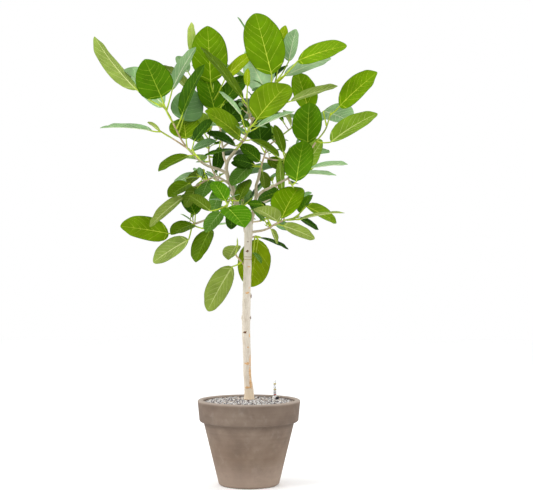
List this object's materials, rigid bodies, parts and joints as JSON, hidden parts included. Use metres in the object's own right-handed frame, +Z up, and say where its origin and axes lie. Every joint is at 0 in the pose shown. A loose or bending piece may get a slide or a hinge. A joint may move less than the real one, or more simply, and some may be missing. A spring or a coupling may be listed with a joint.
{
  "type": "potted ficus standard tree",
  "caption": "Potted ficus standard: a slim bare trunk with an open crown of large oval leaves, in a tapered grey-brown clay pot with a collar rim, topped with gravel and a water gauge.",
  "frame": {"origin": "centre of the pot's flat underside", "axes": "+Z up along the trunk, the front faces -Y"},
  "size_m": [0.8462, 0.5744, 1.4385],
  "materials": {
    "clay": "matt fired clay, faintly mottled",
    "gravel": "loose mixed grains, matt",
    "white_plastic": "satin",
    "clear_plastic": "clear and glossy",
    "black_plastic": "satin",
    "bark": "pale smooth bark with ring scars",
    "leaf": "satin green with pale veins"
  },
  "bodies": {
    "root": {"pot": "clay", "gravel": "gravel", "gauge_collar": "white_plastic", "gauge_tube": "clear_plastic", "gauge_cap": "black_plastic", "trunk": "bark", "bough_leader": "bark", "bough_left": "bark", "bough_upper": "bark", "bough_middle": "bark", "bough_front": "bark", "bough_side": "bark", "bough_centre": "bark", "bough_low_left": "bark", "bough_inner": "bark", "bough_right": "bark", "bough_low_right": "bark", "bough_back_left": "bark", "bough_back_right": "bark", "bough_back_low": "bark", "bough_back_high": "bark", "foliage_top": "leaf", "foliage_middle": "leaf", "foliage_left": "leaf", "foliage_low_left": "leaf", "foliage_side": "leaf", "foliage_centre": "leaf", "foliage_front": "leaf", "foliage_inner": "leaf", "foliage_right": "leaf", "foliage_low_right": "leaf", "foliage_trunk_left": "leaf", "foliage_trunk_back": "leaf", "foliage_back_left": "leaf", "foliage_back_right": "leaf", "foliage_back_low": "leaf", "foliage_back_high": "leaf"}
  },
  "joints": []
}
